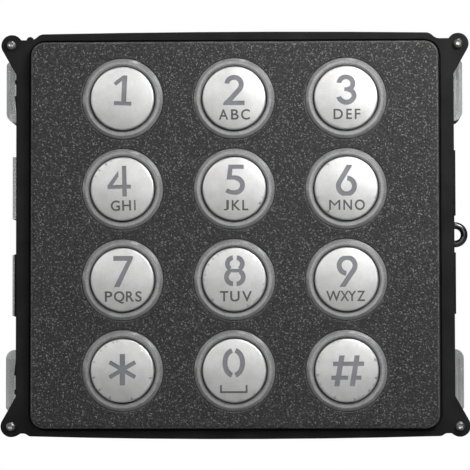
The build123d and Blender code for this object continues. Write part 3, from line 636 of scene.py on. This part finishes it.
def glyph(letter):
    """The filled flat outline of one letter of the built-in font, as a bmesh."""
    curve = bpy.data.curves.new("glyph", "FONT")
    curve.body = letter
    curve.resolution_u = 5
    curve.offset = 0.0 if letter == "M" else PRINT_WEIGHT   # a bolder M folds over itself
    holder = bpy.data.objects.new("glyph", curve)
    scene.collection.objects.link(holder)
    mesh = bpy.data.meshes.new_from_object(holder)
    flat = bmesh.new()
    flat.from_mesh(mesh)
    bpy.data.objects.remove(holder)
    bpy.data.curves.remove(curve)
    bpy.data.meshes.remove(mesh)
    return flat


def span_of(flat, axis):
    values = [v.co[axis] for v in flat.verts]
    return min(values), max(values)


cap_letter = glyph("H")
FONT_FOOT, FONT_TOP = span_of(cap_letter, 1)
cap_letter.free()


def dome(x, z):
    return CAP_CROWN + CAP_DROP * (x * x + z * z) / CAP_RADIUS**2


def ink(shape, flat, key, place):
    """Turn a flat outline (key-local x, z) into thin ink that follows the key's dome."""
    bmesh.ops.remove_doubles(flat, verts=flat.verts, dist=1e-4)
    for _ in range(PRINT_PASSES):
        long_edges = [e for e in flat.edges if e.calc_length() > PRINT_STEP]
        if not long_edges:
            break
        bmesh.ops.subdivide_edges(flat, edges=long_edges, cuts=1)
        bmesh.ops.triangulate(flat, faces=flat.faces)
    flat.verts.index_update()
    turn = math.radians(PRINT_TURN.get(key, 0.0))
    front, back = [], []
    for v in flat.verts:
        x = v.co.x * math.cos(turn) - v.co.y * math.sin(turn)
        z = v.co.x * math.sin(turn) + v.co.y * math.cos(turn)
        y = dome(x, z)
        front.append((place[0] + x, y - PRINT_LIFT, place[1] + z))
        back.append((place[0] + x, y + PRINT_SINK, place[1] + z))
    count = len(front)
    faces = []
    for face in flat.faces:
        ring = [v.index for v in face.verts]
        faces.append(tuple(ring))
        faces.append(tuple(count + i for i in reversed(ring)))
    for edge in flat.edges:
        if len(edge.link_faces) == 1:
            a, b = (v.index for v in edge.verts)
            faces.append((a, b, count + b, count + a))
    shape.add(front + back, faces)
    flat.free()


for key, letters in LETTERS.items():
    prints = Shape()
    for letter, (left, right) in letters.items():
        outline = glyph(letter)
        low, high = span_of(outline, 0)
        foot = span_of(outline, 1)[0] if letter == "J" else FONT_FOOT
        for v in outline.verts:
            across = (v.co.x - low) / (high - low)
            up = (v.co.y - foot) / (FONT_TOP - foot)
            v.co = (left + across * (right - left), PRINT_FOOT + up * (PRINT_TOP - PRINT_FOOT), 0)
        ink(prints, outline, key, key_place(key))
    prints.piece("key_print_" + key, PRINT, "key_fill", "key_" + key)

space_print = Shape()
for (left, right), (low, high) in SPACE_SIGN:
    strip = bmesh.new()
    strip_corners = ((left, low), (right, low), (right, high), (left, high))
    strip.faces.new([strip.verts.new((x, z, 0)) for x, z in strip_corners])
    ink(space_print, strip, "0", key_place("0"))
space_print.piece("key_print_0", PRINT, "key_fill", "key_0")


# ---- frame screws with a real thread ----
THREAD_PITCH = 0.4
THREAD_CREST = 0.99
THREAD_ROOT = 0.79
SCREW_TIP = -1.5
TIP_RADIUS = 0.55
TIP_SLOPE = 1.3         # how fast the chamfer at the tip widens
DIMPLE_RADIUS = 0.3     # the small turned hollow in the tip
DIMPLE_DEPTH = 0.12
SCREW_SEAT = 6.0
HEAD_RADIUS = 1.88
HEAD_TALL = 1.28
HEAD_SIDE = 0.35        # share of the head's height that is straight
HEAD_ROUND_STEPS = 24
HEAD_FLAT_STEPS = 14
RECESS_REACH = 0.6      # shares of the head's radius and height
RECESS_DEPTH = 0.55
RECESS_HALF_SLOT = 0.2
SCREW_STEPS = 72
THREAD_STEPS = 40
THREAD_ROWS_PER_TURN = 8


def cross_recess(x, z, reach, half_slot, depth):
    """How far a cross recess cuts into a head at x, z, with slightly sloped walls."""
    near, far = min(abs(x), abs(z)), max(abs(x), abs(z))
    inside = min(half_slot - near, (reach - far) * 0.6)
    return depth * max(0.0, min(1.0, 0.5 + inside / 0.1))


def head_top(shape, x, z):
    """A pan head standing back from its seat, with a cross recess in its crown."""
    profile = [(HEAD_RADIUS, SCREW_SEAT), (HEAD_RADIUS, SCREW_SEAT + HEAD_TALL * HEAD_SIDE)]
    for i in range(HEAD_ROUND_STEPS):
        a = math.radians(4 + 3.6 * i)
        rise = HEAD_SIDE + (1 - HEAD_SIDE) * math.sin(a)
        profile.append((HEAD_RADIUS * math.cos(a), SCREW_SEAT + HEAD_TALL * rise))
    crown_radius = profile[-1][0]
    for i in range(1, HEAD_FLAT_STEPS):
        profile.append((crown_radius * (1 - i / HEAD_FLAT_STEPS), SCREW_SEAT + HEAD_TALL))
    rows = [circle(x, z, HEAD_RADIUS * 0.5, SCREW_SEAT, SCREW_STEPS)]
    for r, y in profile:
        row = []
        for px, _, pz in circle(0, 0, r, y, SCREW_STEPS):
            cut = cross_recess(px, pz, HEAD_RADIUS * RECESS_REACH, RECESS_HALF_SLOT, HEAD_TALL * RECESS_DEPTH)
            row.append((x + px, y - cut, z + pz))
        rows.append(row)
    shape.grid(rows, close_ends=True)


def thread(shape, x, z, seat):
    """A helical V thread from the chamfered tip to the head."""
    rows = [circle(x, z, DIMPLE_RADIUS, SCREW_TIP + DIMPLE_DEPTH, THREAD_STEPS)]
    count = round((seat - SCREW_TIP) / THREAD_PITCH * THREAD_ROWS_PER_TURN)
    for i in range(count + 1):
        y = SCREW_TIP + (seat - SCREW_TIP) * i / count
        limit = TIP_RADIUS + (y - SCREW_TIP) * TIP_SLOPE
        row = []
        for j in range(THREAD_STEPS):
            angle = 2 * math.pi * j / THREAD_STEPS
            phase = ((y - SCREW_TIP) / THREAD_PITCH - j / THREAD_STEPS) % 1.0
            wave = abs(2 * phase - 1)
            r = min(limit, THREAD_ROOT + (THREAD_CREST - THREAD_ROOT) * min(1.0, wave * 1.15))
            row.append((x + r * math.cos(angle), y, z + r * math.sin(angle)))
        rows.append(row)
    shape.grid(rows, close_ends=True)


frame_screws = Shape()
for screw_x, screw_z in corners(SCREW_X, SCREW_Z):
    thread(frame_screws, screw_x, screw_z, SCREW_SEAT + 0.1)
    head_top(frame_screws, screw_x, screw_z)
frame_screws.piece("frame_screws_threaded", LOOKS["screw_zinc"], "screw_zinc", smooth=True,
                   replaces=["corner_screws"])


# ---- what the clear cover shows on the back of the board ----
TRACE_DEPTHS = (BOARD_BACK - 0.02, BOARD_BACK + 0.035)
PAD_DEPTHS = (BOARD_BACK - 0.02, BOARD_BACK + 0.06)
INK_DEPTHS = (BOARD_BACK - 0.02, BOARD_BACK + 0.05)
LEG_THICK = 0.14
FOUR_WAYS = ((1, 0), (-1, 0), (0, 1), (0, -1))


def chip_legs(shape, place, width, count, pitch, outward, body_half, height):
    """A row of gull-wing legs along one side of a chip."""
    ox, oz = outward
    top, foot = BOARD_BACK + height, BOARD_BACK + 0.12
    path = [(-0.15, top), (0.25, top), (0.5, foot), (0.95, foot)]
    for i in range(count):
        along = (i - (count - 1) / 2) * pitch
        px = place[0] + ox * body_half + abs(oz) * along
        pz = place[1] + oz * body_half + abs(ox) * along
        shape.leg(px, pz, outward, path, width, LEG_THICK)


legs = Shape()
for direction in FOUR_WAYS:
    chip_legs(legs, CONTROLLER, 0.32, 11, 0.8, direction, 5.0, 0.7)
for chip_x in (-DRIVER_X, DRIVER_X):
    for direction in FOUR_WAYS[2:]:
        chip_legs(legs, (chip_x, DRIVER_Z), 0.4, 7, 1.15, direction, 2.0, 0.8)
for side in (-1, 1):
    legs.block((side * 1.8 - 0.55, side * 1.8 + 0.55), PAD_DEPTHS, (CRYSTAL_Z - 2.3, CRYSTAL_Z + 2.3))
legs.piece("chip_legs", TIN, "metal_can")


def pin_mark(shape, radius, top, x, z):
    """The small moulded dot beside a chip's first pin."""
    profile = [(radius, top - 0.02), (radius, top + 0.02), (radius - 0.12, top + 0.005)]
    shape.button(profile, x, z, 24)


chip_marks = Shape()
pin_mark(chip_marks, 0.42, BOARD_BACK + 1.4, CONTROLLER[0] - 3.9, CONTROLLER[1] + 3.9)
for chip_x in (-DRIVER_X, DRIVER_X):
    pin_mark(chip_marks, 0.4, BOARD_BACK + 1.6, chip_x - 3.4, DRIVER_Z - 1.1)
chip_marks.piece("chip_pin_marks", INK, "chip_black")

CAN_TOP = BOARD_BACK + 7.8
tops = Shape()
for cap_x in (-CAPACITOR_X, CAPACITOR_X):
    tops.button([(2.55, CAN_TOP - 0.14), (2.55, CAN_TOP - 0.04), (2.45, CAN_TOP), (0.2, CAN_TOP)],
                cap_x, CAPACITOR_Z, 48)
tops.piece("capacitor_tops", LOOKS["metal_can"], "metal_can", smooth=True)

vents = Shape()
for cap_x in (-CAPACITOR_X, CAPACITOR_X):
    for half_x, half_z, rise in ((1.7, 0.07, 0.015), (0.07, 1.7, 0.02)):
        vents.block((cap_x - half_x, cap_x + half_x), (CAN_TOP - 0.01, CAN_TOP + rise),
                    (CAPACITOR_Z - half_z, CAPACITOR_Z + half_z))
vents.piece("capacitor_vents", LOOKS["chip_black"], "chip_black")

BUZZER_TOP = BOARD_BACK + 5.45
buzzer = Shape()
buzzer.ring_of([(1.1, BUZZER_TOP), (1.1, BUZZER_TOP + 0.3), (1.7, BUZZER_TOP + 0.3), (1.85, BUZZER_TOP + 0.15),
                (1.85, BUZZER_TOP)], *BUZZER, 48)
buzzer.ring_of([(5.3, BUZZER_TOP), (5.3, BUZZER_TOP + 0.17), (5.75, BUZZER_TOP + 0.17),
                (5.9, BUZZER_TOP + 0.05), (5.9, BUZZER_TOP)], *BUZZER, 64)
buzzer.piece("buzzer_rims", LOOKS["socket_black"], "socket_black", smooth=True)
buzzer_mouth = Shape()
buzzer_mouth.button([(1.1, BUZZER_TOP + 0.01), (1.1, BUZZER_TOP + 0.07), (0.4, BUZZER_TOP + 0.08)], *BUZZER, 32)
buzzer_mouth.piece("buzzer_mesh", LOOKS["metal_can"], "metal_can")

CONTACT_DEPTHS = (13.45, 16.6)
contacts = Shape()
for socket_x in (-SOCKET_X, SOCKET_X):
    for column in range(5):
        for row in (-0.5, 0.5):
            px, pz = socket_x + (column - 2) * PIN_PITCH, SOCKET_Z + row * PIN_PITCH
            for side in (-1, 1):
                spring_x = px + side * 0.36
                contacts.block((spring_x - 0.06, spring_x + 0.06), CONTACT_DEPTHS, (pz - 0.25, pz + 0.25))
contacts.piece("socket_contacts", GOLD, "metal_can")

SQUARE = ((-1, -1), (1, -1), (1, 1), (-1, 1))
pins = Shape()
for column in range(4):
    for row in (-0.5, 0.5):
        px, pz = JUMPER[0] + (column - 1.5) * PIN_PITCH, JUMPER[1] + row * PIN_PITCH
        top = BOARD_BACK + (8.4 if column else 8.38)
        sections = ((0.34, BOARD_BACK + 2.45), (0.34, top - 0.35), (0.16, top))
        pins.grid([[(px + sx * half, y, pz + sz * half) for sx, sz in SQUARE] for half, y in sections],
                  close_ends=True)
pins.piece("jumper_pins_gold", GOLD, "metal_can")

# small parts, traces, vias and outlines; the pattern is made up and repeats from one seed
luck = random.Random(11)
SMALL_PARTS = [(x, 1.5) for x in (-9, -6, -3, 0, 3, 6, 9)] + [(x, 20.2 + 5.6) for x in (-4.5, 4.5)]
SMALL_PARTS += [(x, z) for x in (-36, -33, 33, 36) for z in (-3.5, -14.5)]
SMALL_PARTS += [(x, 24.5) for x in (-34, -31, -28, 18, 21, 24)]
SMALL_PARTS += [(x, -21.5) for x in (-26, -22, -18, 18, 22, 26)]
PART_HALF = (1.0, 0.62)     # half its length and half its width
PART_HEIGHTS = (0.5, 0.6, 0.85)
PART_END = 0.32

part_bodies, part_ends = Shape(), Shape()
for part_x, part_z in SMALL_PARTS:
    upright = luck.random() < 0.5
    top = BOARD_BACK + luck.choice(PART_HEIGHTS)
    half_x, half_z = reversed(PART_HALF) if upright else PART_HALF
    body_x, body_z = (half_x, half_z - PART_END) if upright else (half_x - PART_END, half_z)
    part_bodies.block((part_x - body_x, part_x + body_x), (BOARD_BACK, top), (part_z - body_z, part_z + body_z))
    for side in (-1, 1):
        cx = part_x if upright else part_x + side * (half_x - PART_END / 2)
        cz = part_z + side * (half_z - PART_END / 2) if upright else part_z
        ex, ez = (half_x, PART_END / 2) if upright else (PART_END / 2, half_z)
        part_ends.block((cx - ex, cx + ex), (BOARD_BACK, top + 0.02), (cz - ez, cz + ez))
        fx, fz = (half_x + 0.1, PART_END) if upright else (PART_END, half_z + 0.1)
        part_ends.block((cx - fx, cx + fx), PAD_DEPTHS, (cz - fz, cz + fz))
part_bodies.piece("chip_parts", CERAMIC, "chip_black", soften=0.04)
part_ends.piece("chip_part_ends", TIN, "metal_can", soften=0.03)

FINE_TRACE = 0.28
BUS_TRACE = 0.3
CRYSTAL_TRACE = 0.34
traces = Shape()
for i in range(8):      # controller to the two link sockets, by turns
    offset = (i - 3.5) * 0.8
    step = 0.55 * i
    side = 1 if i % 2 else -1
    socket_pin = side * (SOCKET_X + (i - 3.5) * 1.3)
    traces.ribbon([(offset, 4.6), (offset, -1.0 - step), (side * (8 + offset * side * 0.4), -9.0 - step),
                   (side * (15 + step), -9.0 - step), (socket_pin, -18.0), (socket_pin, -26.6)],
                  BUS_TRACE, TRACE_DEPTHS)
for i in range(7):      # controller to the key drivers
    lift = (i - 3) * 0.8
    for side in (-1, 1):
        driver_pin = side * (DRIVER_X + (i - 3) * 1.15)
        traces.ribbon([(side * 6.6, 11 + lift), (side * (12 + i * 0.5), 11 + lift),
                       (side * (19 + i * 0.5), 4 + lift), (driver_pin, 0.5), (driver_pin, -5.8)],
                      FINE_TRACE, TRACE_DEPTHS)
for i in range(4):      # controller to the crystal and capacitors, and to the jumper
    start_x, end_x = -2.4 + i * 1.6, -7 + i * 4.6
    traces.ribbon([(start_x, 17.3), (start_x, 19.6), (end_x, 27.4), (end_x, 28.6)], CRYSTAL_TRACE, TRACE_DEPTHS)
    pin_x = JUMPER[0] + (i - 1.5) * PIN_PITCH
    traces.ribbon([(pin_x, 28.9), (pin_x, 22 - i), (14 + i * 0.8, 16 - i * 0.8), (6.8, 13.4 - i * 0.8)],
                  FINE_TRACE, TRACE_DEPTHS)
for z in (-37.6, 37.9):     # supply rails round the edge
    traces.ribbon([(-36, z), (36, z)], 1.4, TRACE_DEPTHS)
for x in (-42.4, 42.4):
    traces.ribbon([(x, -33), (x, 33)], 1.2, TRACE_DEPTHS)
traces.piece("board_traces", TRACE, "board_green")


def under_a_part(x, z):
    on_controller = abs(x) < 7.5 and 4 < z < 18
    on_buzzer = math.hypot(x - BUZZER[0], z - BUZZER[1]) < 7
    on_driver = abs(x) > 24 and -13 < z < -5
    return on_controller or on_buzzer or on_driver


VIA_TRIES = 90
rings = Shape()
for _ in range(VIA_TRIES):
    px, pz = luck.uniform(-39, 39), luck.uniform(-24, 27)
    if not under_a_part(px, pz):
        rings.flat_ring(0.2, 0.45, PAD_DEPTHS, px, pz, 14)
for px, pz in corners(38.5, 19.5):
    rings.button([(0.9, PAD_DEPTHS[0]), (0.9, PAD_DEPTHS[1]), (0.6, PAD_DEPTHS[1] + 0.01)], px, pz, 24)
rings.piece("board_vias", TIN, "metal_can")

OUTLINE_WIDTH = 0.18
outlines = Shape()


def frame_line(x, z, half_x, half_z):
    """A printed rectangle round a part."""
    corner_points = [(x + sx * half_x, z + sz * half_z) for sx, sz in SQUARE]
    for i, start in enumerate(corner_points):
        outlines.ribbon([start, corner_points[(i + 1) % 4]], OUTLINE_WIDTH, INK_DEPTHS)


frame_line(*CONTROLLER, 6.9, 6.9)
frame_line(0, CRYSTAL_Z, 3.1, 2.7)
for side in (-1, 1):
    frame_line(side * DRIVER_X, DRIVER_Z, 5.0, 3.6)
    frame_line(side * SOCKET_X, SOCKET_Z, 9.2, 4.9)
frame_line(*JUMPER, 5.9, 3.3)
for cap_x in (-CAPACITOR_X, CAPACITOR_X):
    outlines.flat_ring(3.6, 3.8, INK_DEPTHS, cap_x, CAPACITOR_Z, 48)
outlines.flat_ring(6.5, 6.7, INK_DEPTHS, *BUZZER, 64)
outlines.piece("board_ink_outlines", SILK, "label_white")

# ---- the label: a blank form, ruled but with nothing written on it ----
LABEL_DEPTHS = (COVER_BACK - 0.06, COVER_BACK - 0.03)
rules = Shape()
for z in (4.0, 18.0):
    rules.ribbon([(-19, z), (19, z)], 0.3, LABEL_DEPTHS)
for x in (-18.85, 18.85):
    rules.ribbon([(x, 4.15), (x, 17.85)], 0.3, LABEL_DEPTHS)
for z in (7.5, 11.0, 14.5):
    rules.ribbon([(-17.5, z), (6.0, z)], 0.16, LABEL_DEPTHS)
for x in (8.0, 17.2):
    rules.ribbon([(x, 6.0), (x, 15.2)], 0.16, LABEL_DEPTHS)
rules.piece("label_rules", INK, "label_white")


# ---- floor, light and camera ----
THROUGH_CLEAR = 0.25     # how bright the backdrop looks through the clear cover


def camera_only(tree, shown, lit):
    """The camera sees the first shader, dimmed behind clear parts, and light meets the second."""
    mixer = tree.nodes.new("ShaderNodeMixShader")
    path = tree.nodes.new("ShaderNodeLightPath")
    dimmed = tree.nodes.new("ShaderNodeMath")
    dimmed.operation = "MULTIPLY"
    dimmed.inputs[1].default_value = THROUGH_CLEAR
    tree.links.new(path.outputs["Is Transmission Ray"], dimmed.inputs[0])
    share = tree.nodes.new("ShaderNodeMath")
    share.operation = "MAXIMUM"
    tree.links.new(path.outputs["Is Camera Ray"], share.inputs[0])
    tree.links.new(dimmed.outputs[0], share.inputs[1])
    tree.links.new(share.outputs[0], mixer.inputs[0])
    tree.links.new(lit, mixer.inputs[1])
    tree.links.new(shown, mixer.inputs[2])
    return mixer.outputs[0]


FLOOR_REACH = 3.0
FLOOR_GAP = 0.0002
ROOM_STRENGTH = 0.06    # the dim grey room that lights the shadows

floor_mesh = bpy.data.meshes.new("floor")
floor_points = [(sx * FLOOR_REACH, sy * FLOOR_REACH, cad_low.z - FLOOR_GAP) for sx, sy in SQUARE]
floor_mesh.from_pydata(floor_points, [], [(0, 1, 2, 3)])
floor = bpy.data.objects.new("floor", floor_mesh)
scene.collection.objects.link(floor)
floor_look = bpy.data.materials.new("pale_floor")
floor_look.use_nodes = True
nodes = floor_look.node_tree.nodes
nodes.clear()
floor_end = nodes.new("ShaderNodeOutputMaterial")
glow = nodes.new("ShaderNodeEmission")
glow.inputs["Color"].default_value = (1, 1, 1, 1)
matt = nodes.new("ShaderNodeBsdfDiffuse")
matt.inputs["Color"].default_value = (0.3, 0.3, 0.3, 1)
floor_mix = camera_only(floor_look.node_tree, glow.outputs[0], matt.outputs[0])
floor_look.node_tree.links.new(floor_mix, floor_end.inputs[0])
floor_mesh.materials.append(floor_look)
floor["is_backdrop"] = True

world = bpy.data.worlds.new("studio")
world.use_nodes = True
scene.world = world
nodes = world.node_tree.nodes
nodes.clear()
world_end = nodes.new("ShaderNodeOutputWorld")
white = nodes.new("ShaderNodeBackground")
white.inputs["Color"].default_value = (1, 1, 1, 1)
room = nodes.new("ShaderNodeBackground")
room.inputs["Strength"].default_value = ROOM_STRENGTH
direction = nodes.new("ShaderNodeTexCoord")
split = nodes.new("ShaderNodeSeparateXYZ")
world.node_tree.links.new(direction.outputs["Generated"], split.inputs[0])
climb = nodes.new("ShaderNodeMapRange")
climb.inputs["From Min"].default_value = -1.0
world.node_tree.links.new(split.outputs["Z"], climb.inputs["Value"])
sky = nodes.new("ShaderNodeValToRGB")
sky.color_ramp.elements[0].position = 0.35
sky.color_ramp.elements[0].color = (0.2, 0.19, 0.17, 1)
sky.color_ramp.elements[1].position = 0.75
sky.color_ramp.elements[1].color = (1.0, 1.0, 1.0, 1)
world.node_tree.links.new(climb.outputs[0], sky.inputs[0])
world.node_tree.links.new(sky.outputs[0], room.inputs["Color"])
world.node_tree.links.new(camera_only(world.node_tree, white.outputs[0], room.outputs[0]), world_end.inputs[0])


def lamp(name, place, aim, size, power):
    """A square soft light at place, in metres, turned towards aim."""
    data = bpy.data.lights.new(name, "AREA")
    data.size = size
    data.energy = power
    obj = bpy.data.objects.new(name, data)
    obj.location = place
    obj.rotation_euler = (Vector(aim) - Vector(place)).to_track_quat("-Z", "Y").to_euler()
    obj.visible_camera = False
    scene.collection.objects.link(obj)


# where each lamp stands, where it looks, its size in metres and its power in watts
LAMPS = {
    "key_left": ((-0.50, -0.75, 0.40), (0.0, 0.0, 0.0), 0.40, 2.3),
    "near_right": ((0.12, -0.16, 0.13), (0.035, 0.0, 0.035), 0.08, 0.4),
    "front_high": ((0.05, -1.10, 0.50), (0.0, 0.0, 0.0), 0.60, 0.6),
    "front_right": ((0.45, -0.95, 0.25), (0.0, 0.0, 0.0), 0.35, 0.6),
    "front_level": ((0.05, -1.40, 0.16), (0.0, 0.0, 0.0), 0.35, 0.8),
    "edge_left": ((-0.80, -0.10, 0.10), (0.0, 0.0, 0.0), 0.15, 0.25),
    "edge_top": ((0.15, -0.12, 0.80), (0.0, 0.0, 0.0), 0.15, 0.8),
    "rear_fill": ((-0.35, 1.00, 0.45), (0.0, 0.0, 0.0), 0.50, 1.6),
}
for lamp_name, (place, aim, size, power) in LAMPS.items():
    lamp(lamp_name, place, aim, size, power)

CAMERA_DISTANCE = 0.6
CAMERA_TARGET = Vector((0.000071, 0.0, -0.00008))
CAMERA_TURN = math.radians(1.625)
CAMERA_LIFT = math.radians(-2.784)
CAMERA_ROLL = math.radians(-0.102)
camera_data = bpy.data.cameras.new("camera")
camera_data.lens = 201.0
camera_data.sensor_width = 36.0
camera_data.clip_start = 0.01
camera_data.clip_end = 20.0
camera = bpy.data.objects.new("camera", camera_data)
backwards = Vector((math.sin(CAMERA_TURN) * math.cos(CAMERA_LIFT),
                    -math.cos(CAMERA_TURN) * math.cos(CAMERA_LIFT), math.sin(CAMERA_LIFT)))
camera.location = CAMERA_TARGET + backwards * CAMERA_DISTANCE
camera.rotation_euler = (-backwards).to_track_quat("-Z", "Y").to_euler()
camera.rotation_euler.rotate_axis("Z", CAMERA_ROLL)
scene.collection.objects.link(camera)
scene.camera = camera

low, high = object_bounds()
